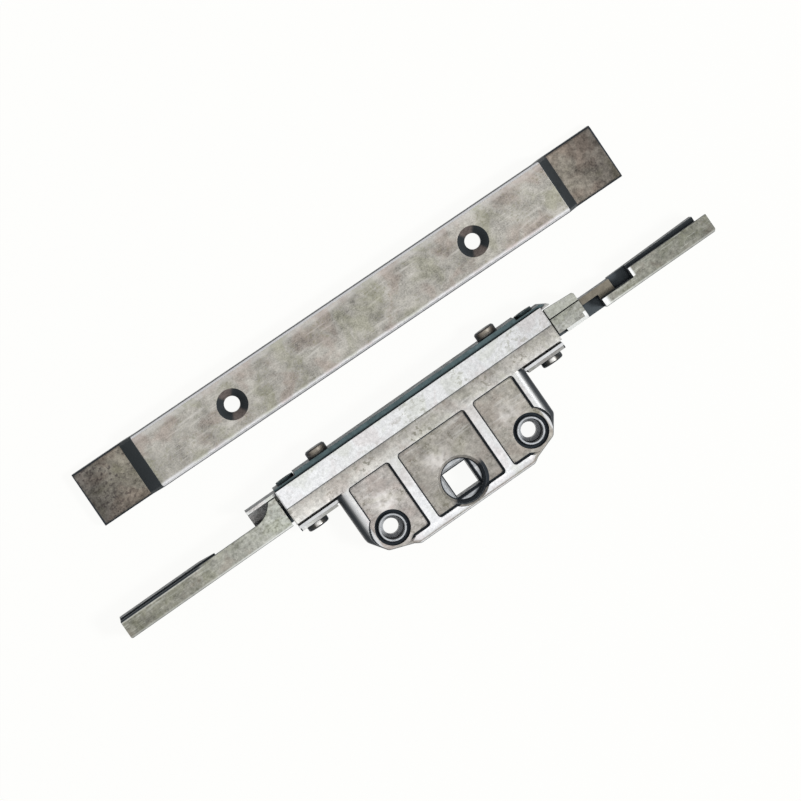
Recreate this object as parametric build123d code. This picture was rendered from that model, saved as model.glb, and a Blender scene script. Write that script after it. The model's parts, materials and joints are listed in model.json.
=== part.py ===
from build123d import *
import math
import os

# Two-way window espagnolette gearbox with its loose face plate.
# Millimetres. Origin: spindle axis on the gearbox's back face.
# +X runs along the tongues, +Y towards the edge face, +Z out of the front, where the handle goes.

# Standard interfaces
BACKSET = 30.0                # spindle axis to the outer face of the fitted face plate
SPINDLE_AF = 7.0              # square spindle across flats
HANDLE_SCREW_SPACING = 43.0
HANDLE_THREAD_R = 2.1         # core of an M5 thread
FACE_SCREW_SPACING = 74.0
FACE_THREAD_R = 1.65          # core of an M4 thread

# Clearances
RUN_FIT = 0.05                # radial, shafts in bores
SLIDE_GAP = 0.3               # between sliding or turning faces
THIN_GAP = 0.15               # between faces that only just clear
TONGUE_GAP = 0.2              # tongues to the cast flange wall
BACKLASH = 0.08               # taken off each tooth flank at the pitch line

# Gear train: hub sector, idler pinion and two racks
MODULE = 0.75
HUB_TEETH = 30                # of the full circle
PINION_TEETH = 10
PRESSURE_ANGLE = 25.0
ADDENDUM = 0.85 * MODULE
DEDENDUM = 1.1 * MODULE
HUB_TURN = 90.0
FLANK_STEPS = 5               # points along each tooth flank
LEAD_TEETH = 1                # teeth kept beyond each end of the working turn

# Sheet and casting thicknesses
SHEET = 0.8                   # side channel and rear cover
CASE_WALL = 1.5               # side walls of the body
BODY_FLOOR_WALL = 1.2         # wall below the hub
POCKET_ROOF = 1.1             # casting left under the pockets
FLANGE_WALL = 1.5             # cast wall beside the tongues

# Levels along Z
CASE_DEPTH = 12.0             # back face to the top of the raised band
BAND_STEP = 0.4               # raised band above the rest of the front
POCKET_DEPTH = 1.3
CHANNEL_ROOF = 1.1            # casting left over the tongues
RACK_THICKNESS = 2.4
RACK_LAYER_GAP = 0.7          # between the two rack layers
TAB_DROP = 2.1                # wall tabs' rim below the ribs
SLOT_DEPTH = 2.0              # slot between the cast flange and the roof
STRIP_DROP = 1.0              # edge strip's rim below the raised band

# Case in plan
CASE_BEYOND_SCREW = 4.1       # roof beyond the face screws
CHANNEL_TAIL = 8.9            # steel channel beyond the case's left end
CHANNEL_WIDTH = 9.8           # roof, from the pockets to the edge strip
STRIP_THICKNESS = 1.5
BAND_WIDTH = 5.1              # raised band
SLOT_WIDTH = 0.8
FLANGE_INSET = 0.1            # cast flange inside the roof's edge
TAB_START = 0.6               # body to the wall tabs
TAB_INSET = 0.2               # wall tabs inside the case's end
END_WEB_INSET = 0.7           # web narrows by this much beyond the case
STRIP_INSET = 0.2             # edge strip inside the case's end
END_SLANT = 30.0              # right end of wall and strip in plan, degrees
SLANT_START = 1.1             # its outer corner inside the case's end
END_FLAT = 0.4                # blunt tip of the slanted wall
BODY_BEYOND_SCREW = 7.5       # body's side beyond the handle screws
BODY_ROUND = 2.6              # outer rounding of the body's side walls
CORNER_A_Y = 0.4              # lower corners of the body, X from the screw
CORNER_B_X = 4.1
CORNER_B_Y = -4.4
CORNER_C_X = -2.2
CORNER_C_Y = -6.6
CORNER_D_X = -3.8
CORNER_ROUND = 1.6
END_CHAMFER = 0.3             # roof's end edges

# Pockets in the front of the body
POCKET_BEYOND_SCREW = 4.0     # outer pockets beyond the handle screws
RIB_FROM_SCREW = 8.6          # handle screw to the rib's far side
RIB_WIDTH = 2.5
POCKET_RIM = 2.6              # rim left below the pockets
POCKET_CORNER = 1.0
POCKET_SLOPE = 0.6            # sloped foot of the pocket walls
SCREW_CLEARANCE = 1.55        # pocket opened beyond each sleeve's groove
HUB_RIM = 0.6                 # rim left below the hub's recess

# Hub
HUB_JOURNAL_R = 5.45
HUB_SHOULDER = 0.65           # step between the journal and the core
HUB_RECESS = 1.5              # hub face below the pocket floor
HUB_CHAMFER = 0.7             # at the mouth of the front bearing
HUB_LIFT = 0.3                # hub's back end above the back face
SPINDLE_MOUTH = 0.85          # chamfer at the mouth of the square
WASHER_THICKNESS = 0.4
WASHER_RIM = 0.2              # washer beyond the hub's core
WASHER_GAP = 0.2              # teeth to the washer

# Screw sleeves
SLEEVE_R = 3.9
SLEEVE_WALL = 0.75            # round the clear bore
SLEEVE_EDGE = 0.35
SLEEVE_THREAD_LENGTH = 4.0
SLEEVE_GROOVE = 0.75          # width of the dark groove round the sleeve
SLEEVE_GROOVE_DEPTH = 0.9
SLEEVE_SPIGOT_STEP = 0.5      # sleeve to its riveted end in the rear cover

# Tongues, lengths from the case's end
LEFT_ROOT_GAP = 0.8           # case's end to the full-height part
RIGHT_ROOT_GAP = 0.4
LEFT_WIDTH = 5.3
LEFT_REACH = 50.8
TIP_CHAMFER = 0.3
WING_THICKNESS = 1.5
WING_FILLET = 7.3
RELIEF_START = 8.9            # left tongue is thin underneath from here
RELIEF_FLAT = 21.3
RELIEF_END = 25.8
RELIEF_THICKNESS = 2.55       # what the relief leaves
LEFT_FOOT_PROUD = 0.45        # full-height part, wider below the relief's level
RIGHT_WIDTH = 5.0
BLOCK_REACH = 9.2
BLOCK_INSET = 0.4
BLOCK_WIDTH = 5.1
BLOCK_CHAMFER = 0.9
BLOCK_NOTCH = 2.3             # length of the notch where the block meets the case
BLOCK_NOTCH_DEPTH = 3.1
RIGHT_WING_NARROW = 0.5       # right wing tapers by this much
RIGHT_WING_ROUND = 0.6
WING_GROOVE = 0.3             # line between the right wing and the block
WING_GROOVE_DEPTH = 0.7
NECK_INSET = 3.7              # right tongue's stepped neck, narrow up to the bar
NECK_REACH = 18.8
NECK_PROUD = 0.5              # neck beyond the tongue's outer side
NECK_DROP = 2.95
NECK_FLOOR_DROP = 5.95
BAR_START = 14.3              # slim full-height bar beside the neck
BAR_WIDTH = 2.3
FULL_START = 24.2
LEDGE_PROUD = 0.75            # ledge's two ends beyond the outer side
LEDGE_TIP_PROUD = 1.3
LEDGE_DROP = 3.35
LEDGE_REACH = 45.4
TIP_LENGTH = 3.0              # right tongue's thin tip
TIP_THICKNESS = 2.3
TIP_ROUND = 0.8

# Rack bars and their dowels
RACK_INSET = 0.2              # rack bar inside the tongue's side
RACK_WIDTH = 4.5
RACK_REACH = 8.3              # from the case's end
RACK_MARGIN = 4.8             # rack beyond the pitch point at each end
STEP_GAP = 1.4                # pinion to the bar's wide part, tongue drawn in
STEP_LENGTH = 10.2
DOWEL_R = 1.0
DOWEL_REACHES = (2.8, 6.8)    # from the case's end
DOWEL_COVER = 1.75            # tongue left over the dowels

# Idler
IDLER_PIN_R = 1.5
IDLER_HEAD_R = 2.4
IDLER_GAP = 0.1               # pinion to its shoulder and to its head

# Fasteners on the walls
INNER_HEAD = 0.5              # what stands inside the channel's wall
BUSH_WALL = 0.55
BUSH_FLANGE = 0.35            # bush head beyond its barrel
BUSH_HEAD = 0.8               # sunk flush into the strip's ends
BUSH_SEAT_GAP = 0.2           # head to the step in the strip
FLANGE_RIVET_INSET = 0.6      # from the face screw
FLANGE_RIVET_R = 1.5
FLANGE_RIVET_HEAD_R = 3.0
FLANGE_RIVET_HEAD = 1.6
FLANGE_RIVET_ROUND = 0.5
STUD_INSET = 10.7             # from the face screw
STUD_R = 2.9
STUD_LENGTH = 2.1
STUD_SHANK_R = 1.5
STUD_INNER_FLANGE = 0.9       # stud's inner head beyond its shank
STUD_EDGE = 0.4

# Rear cover rivets
COVER_RIVET_R = 1.2
COVER_RIVET_DEPTH = 5.0
COVER_POST_WALL = 0.8         # casting round each rivet
UPPER_POST_X = 3.5            # from the handle screw
UPPER_POST_DROP = 5.1         # below the roof's edge
LOWER_POST_X = -7.2
LOWER_POST_RISE = 2.6         # above the body's lower side
COVER_GAP = 0.2               # cover's edge inside the case outline

# Face plate
PLATE_WIDTH = 15.5
PLATE_THICKNESS = 4.0
PLATE_DROP = 3.6              # tabs below the middle
PLATE_LEFT_REACH = 63.3       # screw holes' middle to each end of the raised middle
PLATE_RIGHT_REACH = 62.1
PLATE_LEFT_SLOPE = 3.5        # length of each joggle along the plate
PLATE_RIGHT_SLOPE = 2.6
PLATE_LEFT_TAB = 14.2
PLATE_RIGHT_TAB = 13.6
PLATE_HOLE_R = 2.1
PLATE_SINK = 2.0              # depth of the countersink, and what it adds in radius
PLATE_EDGE = 0.7              # bevel of the long edges
PLATE_BEND = 0.5
PLATE_SOCKET_GAP = 0.15
PLATE_DISTANCE = 22.4         # edge face to the middle of the loose plate
PLATE_SKEW = -0.8             # degrees off parallel, as it lies

# Derived levels
RIB_TOP = CASE_DEPTH - BAND_STEP
POCKET_FLOOR = RIB_TOP - POCKET_DEPTH
BODY_CEILING = POCKET_FLOOR - POCKET_ROOF
CHANNEL_CEILING = RIB_TOP - CHANNEL_ROOF
BOLT_BOTTOM = SHEET + SLIDE_GAP
BOLT_TOP = CHANNEL_CEILING - THIN_GAP
LOWER_BOTTOM = BOLT_BOTTOM
LOWER_TOP = LOWER_BOTTOM + RACK_THICKNESS
UPPER_BOTTOM = LOWER_TOP + RACK_LAYER_GAP
UPPER_TOP = UPPER_BOTTOM + RACK_THICKNESS
WASHER_BOTTOM = UPPER_TOP + WASHER_GAP
HUB_BEARING_BOTTOM = WASHER_BOTTOM + WASHER_THICKNESS
HUB_FACE = POCKET_FLOOR - HUB_RECESS
TAB_TOP = RIB_TOP - TAB_DROP
SLOT_FLOOR = TAB_TOP - SLOT_DEPTH
STRIP_TOP = CASE_DEPTH - STRIP_DROP
WING_BOTTOM = BOLT_TOP - WING_THICKNESS
RELIEF_TOP_Z = BOLT_TOP - RELIEF_THICKNESS
NECK_TOP_Z = BOLT_TOP - NECK_DROP
NECK_FLOOR_Z = BOLT_TOP - NECK_FLOOR_DROP
LEDGE_TOP_Z = BOLT_TOP - LEDGE_DROP
DOWEL_TOP_Z = BOLT_TOP - DOWEL_COVER
IDLER_HEAD = RACK_LAYER_GAP - IDLER_GAP - SLIDE_GAP
FASTENER_Z = CASE_DEPTH / 2

# Derived radii
HUB_PITCH_R = MODULE * HUB_TEETH / 2
PINION_PITCH_R = MODULE * PINION_TEETH / 2
TOOTH_PITCH = math.pi * MODULE
STROKE = math.radians(HUB_TURN) * HUB_PITCH_R
HUB_CORE_R = HUB_JOURNAL_R + HUB_SHOULDER
HUB_BORE_R = HUB_JOURNAL_R + RUN_FIT
WASHER_R = HUB_CORE_R + WASHER_RIM
SLEEVE_BORE_R = SLEEVE_R - SLEEVE_WALL
SLEEVE_SPIGOT_R = SLEEVE_R - SLEEVE_SPIGOT_STEP
SLEEVE_GROOVE_R = SLEEVE_R + SLEEVE_GROOVE
SCREW_CLEAR_R = SLEEVE_GROOVE_R + SCREW_CLEARANCE
BUSH_R = FACE_THREAD_R + BUSH_WALL
BUSH_HEAD_R = BUSH_R + BUSH_FLANGE
STUD_INNER_HEAD_R = STUD_SHANK_R + STUD_INNER_FLANGE
COVER_POST_R = COVER_RIVET_R + COVER_POST_WALL
PLATE_SINK_R = PLATE_HOLE_R + PLATE_SINK

# Derived places along X
SCREW_X = HANDLE_SCREW_SPACING / 2
FACE_SCREW_X = FACE_SCREW_SPACING / 2
STUD_X = FACE_SCREW_X - STUD_INSET
FLANGE_RIVET_X = FACE_SCREW_X - FLANGE_RIVET_INSET
CASE_HALF_LENGTH = FACE_SCREW_X + CASE_BEYOND_SCREW
CHANNEL_LEFT_X = -CASE_HALF_LENGTH - CHANNEL_TAIL
STRIP_HALF_LENGTH = CASE_HALF_LENGTH - STRIP_INSET
BODY_HALF_WIDTH = SCREW_X + BODY_BEYOND_SCREW
TAB_INNER_X = BODY_HALF_WIDTH + TAB_START
TAB_OUTER_X = CASE_HALF_LENGTH - TAB_INSET
POCKET_OUTER_X = SCREW_X + POCKET_BEYOND_SCREW
RIB_OUTER_X = SCREW_X - RIB_FROM_SCREW
RIB_INNER_X = RIB_OUTER_X - RIB_WIDTH
BUSH_SEAT_X = FACE_SCREW_X - BUSH_HEAD_R - BUSH_SEAT_GAP
SLANT_START_X = CASE_HALF_LENGTH - SLANT_START
LEFT_ROOT_X = CASE_HALF_LENGTH + LEFT_ROOT_GAP
RIGHT_ROOT_X = CASE_HALF_LENGTH + RIGHT_ROOT_GAP
LEFT_TIP_X = CASE_HALF_LENGTH + LEFT_REACH
RELIEF_START_X = CASE_HALF_LENGTH + RELIEF_START
RELIEF_FLAT_X = CASE_HALF_LENGTH + RELIEF_FLAT
RELIEF_END_X = CASE_HALF_LENGTH + RELIEF_END
BLOCK_END_X = CASE_HALF_LENGTH + BLOCK_REACH
BAR_START_X = CASE_HALF_LENGTH + BAR_START
NECK_END_X = CASE_HALF_LENGTH + NECK_REACH
FULL_START_X = CASE_HALF_LENGTH + FULL_START
LEDGE_END_X = CASE_HALF_LENGTH + LEDGE_REACH
RIGHT_TIP_X = LEDGE_END_X + TIP_LENGTH
RACK_END_X = CASE_HALF_LENGTH + RACK_REACH
STEP_INNER_X = STROKE + PINION_PITCH_R + ADDENDUM + STEP_GAP
STEP_OUTER_X = STEP_INNER_X + STEP_LENGTH
DOWEL_X = [CASE_HALF_LENGTH + reach for reach in DOWEL_REACHES]

# Derived places along Y
IDLER_Y = HUB_PITCH_R + PINION_PITCH_R
RIGHT_PITCH_Y = IDLER_Y + PINION_PITCH_R
EDGE_Y = BACKSET - PLATE_THICKNESS
WALL_OUTER_Y = EDGE_Y - STRIP_THICKNESS
WALL_INNER_Y = WALL_OUTER_Y - SHEET
CHANNEL_FRONT_Y = WALL_OUTER_Y - CHANNEL_WIDTH
BUSH_SEAT_Y = EDGE_Y - BUSH_HEAD
BAND_Y = WALL_OUTER_Y - BAND_WIDTH
FLANGE_OUTER_Y = CHANNEL_FRONT_Y - FLANGE_INSET
FLANGE_Y = FLANGE_OUTER_Y - FLANGE_WALL
TAB_Y = FLANGE_Y - SHEET
END_WEB_Y = CHANNEL_FRONT_Y + END_WEB_INSET
BODY_BOTTOM_Y = -HUB_CORE_R - SLIDE_GAP - BODY_FLOOR_WALL
POCKET_BOTTOM_Y = BODY_BOTTOM_Y + POCKET_RIM
HUB_CLEAR_R = -BODY_BOTTOM_Y - HUB_RIM
TONGUE_INNER_Y = FLANGE_OUTER_Y + TONGUE_GAP
LEFT_OUTER_Y = TONGUE_INNER_Y + LEFT_WIDTH
RIGHT_OUTER_Y = TONGUE_INNER_Y + RIGHT_WIDTH
NECK_INNER_Y = TONGUE_INNER_Y + NECK_INSET
BAR_Y = TONGUE_INNER_Y + BAR_WIDTH
LEFT_FOOT_Y = LEFT_OUTER_Y + LEFT_FOOT_PROUD
NECK_OUTER_Y = RIGHT_OUTER_Y + NECK_PROUD
LEDGE_Y = RIGHT_OUTER_Y + LEDGE_PROUD
LEDGE_TIP_Y = RIGHT_OUTER_Y + LEDGE_TIP_PROUD
BLOCK_INNER_Y = TONGUE_INNER_Y + BLOCK_INSET
RIGHT_WING_Y = BLOCK_INNER_Y + BLOCK_WIDTH
WING_Y = WALL_INNER_Y - SLIDE_GAP
RACK_INNER_Y = BLOCK_INNER_Y + RACK_INSET
RACK_OUTER_Y = RACK_INNER_Y + RACK_WIDTH
RACK_EDGE_Y = WALL_INNER_Y - INNER_HEAD - SLIDE_GAP
DOWEL_Y = (RACK_INNER_Y + RACK_OUTER_Y) / 2
PLATE_Y = EDGE_Y + PLATE_DISTANCE

# Slanted right end, from its outer corner to the wall's inner face
SLANT_LENGTH = (EDGE_Y - WALL_INNER_Y) / math.tan(math.radians(END_SLANT))
SLANT_END_X = SLANT_START_X + SLANT_LENGTH

# Body's lower right corners and the cover's right-hand rivets
CORNERS = [
    (BODY_HALF_WIDTH, CORNER_A_Y),
    (SCREW_X + CORNER_B_X, CORNER_B_Y),
    (SCREW_X + CORNER_C_X, CORNER_C_Y),
    (SCREW_X + CORNER_D_X, BODY_BOTTOM_Y),
]
POSTS = [
    (SCREW_X + UPPER_POST_X, CHANNEL_FRONT_Y - UPPER_POST_DROP),
    (SCREW_X + LOWER_POST_X, BODY_BOTTOM_Y + LOWER_POST_RISE),
]


def block(x0, x1, y0, y1, z0, z1):
    """A box between two corners."""
    centre = Pos((x0 + x1) / 2, (y0 + y1) / 2, (z0 + z1) / 2)
    return centre * Box(abs(x1 - x0), abs(y1 - y0), abs(z1 - z0))


def disc(x, y, radius, z0, z1):
    """A cylinder along Z."""
    return Pos(x, y, (z0 + z1) / 2) * Cylinder(radius, z1 - z0)


def rod_y(x, z, radius, y0, y1):
    """A cylinder along Y."""
    return Pos(x, (y0 + y1) / 2, z) * Rot(90, 0, 0) * Cylinder(radius, abs(y1 - y0))


def prism(points, z0, z1):
    """A straight prism on a closed outline in the XY plane."""
    outline = Polyline(*points, close=True)
    return Pos(0, 0, z0) * extrude(make_face(outline), z1 - z0)


def side_prism(points, y0, y1):
    """A straight prism on a closed outline of X and Z, from y0 to y1."""
    outline = Polyline(*points, close=True)
    return extrude(Plane.XZ.offset(-y1) * make_face(outline), y1 - y0)


def mirrored(points):
    """The right-hand half of an outline with its mirror image, in order."""
    return points + [(-x, y) for x, y in reversed(points)]


def rounded_block(x0, x1, y0, y1, z0, z1, radius):
    """A box with its four upright edges rounded."""
    plain = block(x0, x1, y0, y1, z0, z1)
    return fillet(plain.edges().filter_by(Axis.Z), radius)


def involute(angle):
    """Involute function of a pressure angle in radians."""
    return math.tan(angle) - angle


def gear_tooth(teeth, centre_angle, z0, z1):
    """One involute tooth, pointing along centre_angle in degrees."""
    pitch_r = MODULE * teeth / 2
    base_r = pitch_r * math.cos(math.radians(PRESSURE_ANGLE))
    root_r = pitch_r - DEDENDUM
    tip_r = pitch_r + ADDENDUM
    half_at_pitch = math.pi / (2 * teeth) - BACKLASH / pitch_r
    base_half = half_at_pitch + involute(math.radians(PRESSURE_ANGLE))
    flank = [(root_r - ADDENDUM, base_half), (max(root_r, base_r), base_half)]
    start_r = max(root_r, base_r)
    for step in range(1, FLANK_STEPS + 1):
        radius = start_r + (tip_r - start_r) * step / FLANK_STEPS
        half = base_half - involute(math.acos(base_r / radius))
        flank.append((radius, half))
    turn = math.radians(centre_angle)
    right = [(r * math.cos(turn - a), r * math.sin(turn - a)) for r, a in flank]
    left = [(r * math.cos(turn + a), r * math.sin(turn + a)) for r, a in reversed(flank)]
    return prism(right + left, z0, z1)


def rack_tooth(x, pitch_y, z0, z1):
    """One rack tooth at x, pointing towards -Y from its bar."""
    slope = math.tan(math.radians(PRESSURE_ANGLE))
    half_pitch = TOOTH_PITCH / 4 - BACKLASH
    half_tip = half_pitch - ADDENDUM * slope
    half_root = half_pitch + DEDENDUM * slope
    tip_y = pitch_y - ADDENDUM
    root_y = pitch_y + DEDENDUM
    points = [
        (x - half_tip, tip_y),
        (x + half_tip, tip_y),
        (x + half_root, root_y),
        (x + half_root, root_y + ADDENDUM),
        (x - half_root, root_y + ADDENDUM),
        (x - half_root, root_y),
    ]
    return prism(points, z0, z1)


def body_outline():
    """Lower body of the casting in plan."""
    return mirrored([(BODY_HALF_WIDTH, CHANNEL_FRONT_Y)] + CORNERS)


def body_block():
    """The body's outer form with its rounded walls."""
    solid = prism(body_outline(), SHEET, RIB_TOP)
    upright = solid.edges().filter_by(Axis.Z)
    lower = upright.filter_by_position(Axis.Y, BODY_BOTTOM_Y, CORNER_A_Y)
    solid = fillet(lower, CORNER_ROUND)
    rim = solid.faces().sort_by(Axis.Z)[-1].edges()
    sides = rim.filter_by(Axis.Y)
    return fillet(sides, BODY_ROUND)


def body_cavity():
    """The hollow inside the body, open at the back."""
    inner_x = BODY_HALF_WIDTH - CASE_WALL
    floor_y = BODY_BOTTOM_Y + BODY_FLOOR_WALL
    hollow = block(-inner_x, inner_x, floor_y, CHANNEL_FRONT_Y, 0, BODY_CEILING)
    sleeve_wall = SLEEVE_GROOVE_R + CASE_WALL
    for side in (-1, 1):
        corner = [
            (side * (CORNERS[-1][0] - CASE_WALL), BODY_BOTTOM_Y),
            (side * (SCREW_X - sleeve_wall), 0),
            (side * (SCREW_X - SLEEVE_R), sleeve_wall),
            (side * BODY_HALF_WIDTH, sleeve_wall),
            (side * BODY_HALF_WIDTH, BODY_BOTTOM_Y),
        ]
        hollow -= prism(corner, 0, BODY_CEILING)
        for post_x, post_y in POSTS:
            hollow -= disc(side * post_x, post_y, COVER_POST_R, 0, BODY_CEILING)
    return hollow


def pocket(x0, x1):
    """One recess with rounded corners and sloped wall feet."""
    recess = rounded_block(
        x0, x1, POCKET_BOTTOM_Y, CHANNEL_FRONT_Y, POCKET_FLOOR, CASE_DEPTH, POCKET_CORNER,
    )
    return chamfer(recess.faces().sort_by(Axis.Z)[0].edges(), POCKET_SLOPE)


def round_pocket(x, radius):
    """A round recess with a sloped wall foot."""
    foot = Pos(x, 0, POCKET_FLOOR + POCKET_SLOPE / 2) * Cone(radius - POCKET_SLOPE, radius, POCKET_SLOPE)
    return foot + disc(x, 0, radius, POCKET_FLOOR + POCKET_SLOPE, CASE_DEPTH)


def pockets():
    """The three recesses in the front of the body."""
    cut = pocket(-RIB_INNER_X, RIB_INNER_X) + round_pocket(0, HUB_CLEAR_R)
    cut += pocket(RIB_OUTER_X, POCKET_OUTER_X) + round_pocket(SCREW_X, SCREW_CLEAR_R)
    cut += pocket(-POCKET_OUTER_X, -RIB_OUTER_X) + round_pocket(-SCREW_X, SCREW_CLEAR_R)
    return cut


def channel_roof():
    """Roof over the tongues with its raised band."""
    length = CASE_HALF_LENGTH
    roof = block(-length, length, CHANNEL_FRONT_Y, WALL_OUTER_Y, CHANNEL_CEILING, RIB_TOP)
    roof += block(-length, length, BAND_Y, WALL_OUTER_Y, CHANNEL_CEILING, CASE_DEPTH)
    ends = [edge for edge in roof.edges().filter_by(Axis.Y) if edge.center().Z > CHANNEL_CEILING]
    return chamfer(ends, END_CHAMFER)


def cast_flange(side):
    """Cast wall beside the tongues, slotted along the roof's edge."""
    inner = side * (BODY_HALF_WIDTH - CASE_WALL)
    outer = side * TAB_OUTER_X
    flange = block(inner, outer, FLANGE_Y, FLANGE_OUTER_Y, SHEET, TAB_TOP)
    slot_y = CHANNEL_FRONT_Y - SLOT_WIDTH
    flange -= block(side * BODY_HALF_WIDTH, outer, slot_y, FLANGE_OUTER_Y, SLOT_FLOOR, TAB_TOP)
    rivet_x = side * FLANGE_RIVET_X
    return flange - rod_y(rivet_x, FASTENER_Z, FLANGE_RIVET_R, FLANGE_Y, FLANGE_OUTER_Y)


def front_case():
    """Die-cast shell: roof, flange walls and pocketed body."""
    case = body_block() - body_cavity()
    case += channel_roof()
    case += cast_flange(-1) + cast_flange(1)
    case += disc(0, 0, HUB_BORE_R + BODY_FLOOR_WALL, HUB_BEARING_BOTTOM, BODY_CEILING)
    case -= pockets()
    case -= disc(0, 0, HUB_BORE_R, HUB_BEARING_BOTTOM, CASE_DEPTH)
    mouth_z = POCKET_FLOOR - HUB_CHAMFER / 2
    case -= Pos(0, 0, mouth_z) * Cone(HUB_BORE_R, HUB_BORE_R + HUB_CHAMFER, HUB_CHAMFER)
    groove_z = POCKET_FLOOR - SLEEVE_GROOVE_DEPTH
    for side in (-1, 1):
        case -= disc(side * SCREW_X, 0, SLEEVE_R, 0, CASE_DEPTH)
        case -= disc(side * SCREW_X, 0, SLEEVE_GROOVE_R, groove_z, CASE_DEPTH)
        for post_x, post_y in POSTS:
            case -= disc(side * post_x, post_y, COVER_RIVET_R, 0, COVER_RIVET_DEPTH)
    return case


def slanted_end():
    """What is cut off the right end of the wall and of the strip."""
    corner = [(SLANT_START_X, EDGE_Y), (SLANT_END_X, WALL_INNER_Y), (SLANT_END_X, EDGE_Y)]
    return prism(corner, 0, CASE_DEPTH)


def side_channel():
    """Bent steel channel: back web, tall wall and two short wall tabs."""
    left = CHANNEL_LEFT_X
    right = CASE_HALF_LENGTH
    channel = block(-TAB_OUTER_X, TAB_OUTER_X, TAB_Y, WALL_OUTER_Y, 0, SHEET)
    channel += block(left, right, END_WEB_Y, WALL_OUTER_Y, 0, SHEET)
    wall_end = SLANT_END_X - END_FLAT
    channel += block(left, wall_end, WALL_INNER_Y, WALL_OUTER_Y, 0, CHANNEL_CEILING) - slanted_end()
    for side in (-1, 1):
        x = side * FACE_SCREW_X
        channel += block(side * TAB_INNER_X, side * TAB_OUTER_X, TAB_Y, FLANGE_Y, 0, TAB_TOP)
        channel -= rod_y(x, FASTENER_Z, BUSH_R, WALL_INNER_Y, WALL_OUTER_Y)
        channel -= rod_y(side * FLANGE_RIVET_X, FASTENER_Z, FLANGE_RIVET_R, TAB_Y, FLANGE_Y)
        channel -= rod_y(side * STUD_X, FASTENER_Z, STUD_SHANK_R, WALL_INNER_Y, WALL_OUTER_Y)
    return channel - disc(0, IDLER_Y, IDLER_PIN_R, 0, SHEET)


def edge_strip():
    """Strip outside the tall wall that the face plate is screwed against."""
    strip = block(-STRIP_HALF_LENGTH, SLANT_END_X, WALL_OUTER_Y, EDGE_Y, 0, STRIP_TOP)
    strip -= slanted_end()
    for side in (-1, 1):
        strip -= block(side * BUSH_SEAT_X, side * SLANT_END_X, BUSH_SEAT_Y, EDGE_Y, 0, STRIP_TOP)
        strip -= rod_y(side * FACE_SCREW_X, FASTENER_Z, BUSH_R, WALL_OUTER_Y, BUSH_SEAT_Y)
        strip -= rod_y(side * STUD_X, FASTENER_Z, STUD_SHANK_R, WALL_OUTER_Y, EDGE_Y)
    return strip


def rear_cover():
    """Flat steel plate that closes the back of the body."""
    lower = [(x - COVER_GAP, y + COVER_GAP) for x, y in CORNERS]
    cover = prism(mirrored([(BODY_HALF_WIDTH - COVER_GAP, TAB_Y)] + lower), 0, SHEET)
    cover -= disc(0, 0, HUB_BORE_R, 0, SHEET)
    for side in (-1, 1):
        cover -= disc(side * SCREW_X, 0, SLEEVE_SPIGOT_R, 0, SHEET)
        for post_x, post_y in POSTS:
            cover -= disc(side * post_x, post_y, COVER_RIVET_R, 0, SHEET)
    return cover


def cover_rivets():
    """Flush rivets through the rear cover into the casting's posts."""
    rivets = []
    for side in (-1, 1):
        for post_x, post_y in POSTS:
            rivets.append(disc(side * post_x, post_y, COVER_RIVET_R, 0, COVER_RIVET_DEPTH))
    return Compound(children=rivets)


def hub_sector():
    """Toothed part of the hub."""
    tooth_angle = 360 / HUB_TEETH
    last = math.ceil(HUB_TURN / tooth_angle) + LEAD_TEETH
    angles = [90 + index * tooth_angle for index in range(-LEAD_TEETH, last + 1)]
    root_r = HUB_PITCH_R - DEDENDUM
    rays = [math.radians(angle) for angle in angles]
    wedge = [(0, 0)] + [(2 * root_r * math.cos(ray), 2 * root_r * math.sin(ray)) for ray in rays]
    sector = disc(0, 0, root_r, LOWER_BOTTOM, UPPER_TOP) & prism(wedge, LOWER_BOTTOM, UPPER_TOP)
    for angle in angles:
        sector += gear_tooth(HUB_TEETH, angle, LOWER_BOTTOM, UPPER_TOP)
    return sector


def spindle_hub():
    """Hub with a square spindle hole and one toothed sector."""
    shoulder = WASHER_BOTTOM - THIN_GAP
    hub = disc(0, 0, HUB_JOURNAL_R, HUB_LIFT, HUB_FACE)
    hub += disc(0, 0, HUB_CORE_R, BOLT_BOTTOM, shoulder)
    hub += hub_sector()
    half = SPINDLE_AF / 2
    square = block(-half, half, -half, half, 0, HUB_FACE)
    hub -= square
    mouth = square.faces().sort_by(Axis.Z)[-1]
    wide = 2 * (half + SPINDLE_MOUTH)
    flare = loft([Pos(0, 0, HUB_FACE) * Rectangle(wide, wide), mouth.moved(Pos(0, 0, -SPINDLE_MOUTH))])
    return hub - flare


def hub_washer():
    """Thin thrust washer between the hub's shoulder and the casting."""
    washer = disc(0, 0, WASHER_R, WASHER_BOTTOM, HUB_BEARING_BOTTOM)
    return washer - disc(0, 0, HUB_BORE_R, WASHER_BOTTOM, HUB_BEARING_BOTTOM)


def idler_pinion():
    """Pinion between the hub sector and the right rack bar."""
    pinion = disc(0, 0, PINION_PITCH_R - DEDENDUM, LOWER_BOTTOM, LOWER_TOP)
    tooth_angle = 360 / PINION_TEETH
    for index in range(PINION_TEETH):
        pinion += gear_tooth(PINION_TEETH, 90 + (index + 0.5) * tooth_angle, LOWER_BOTTOM, LOWER_TOP)
    pinion -= disc(0, 0, IDLER_PIN_R + RUN_FIT, LOWER_BOTTOM, LOWER_TOP)
    return Pos(0, IDLER_Y, 0) * pinion


def idler_pin():
    """Riveted pin that carries the idler pinion."""
    head_bottom = LOWER_TOP + IDLER_GAP
    pin = disc(0, IDLER_Y, IDLER_PIN_R, 0, head_bottom)
    pin += disc(0, IDLER_Y, IDLER_HEAD_R, SHEET, LOWER_BOTTOM - IDLER_GAP)
    return pin + disc(0, IDLER_Y, IDLER_HEAD_R, head_bottom, head_bottom + IDLER_HEAD)


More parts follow.
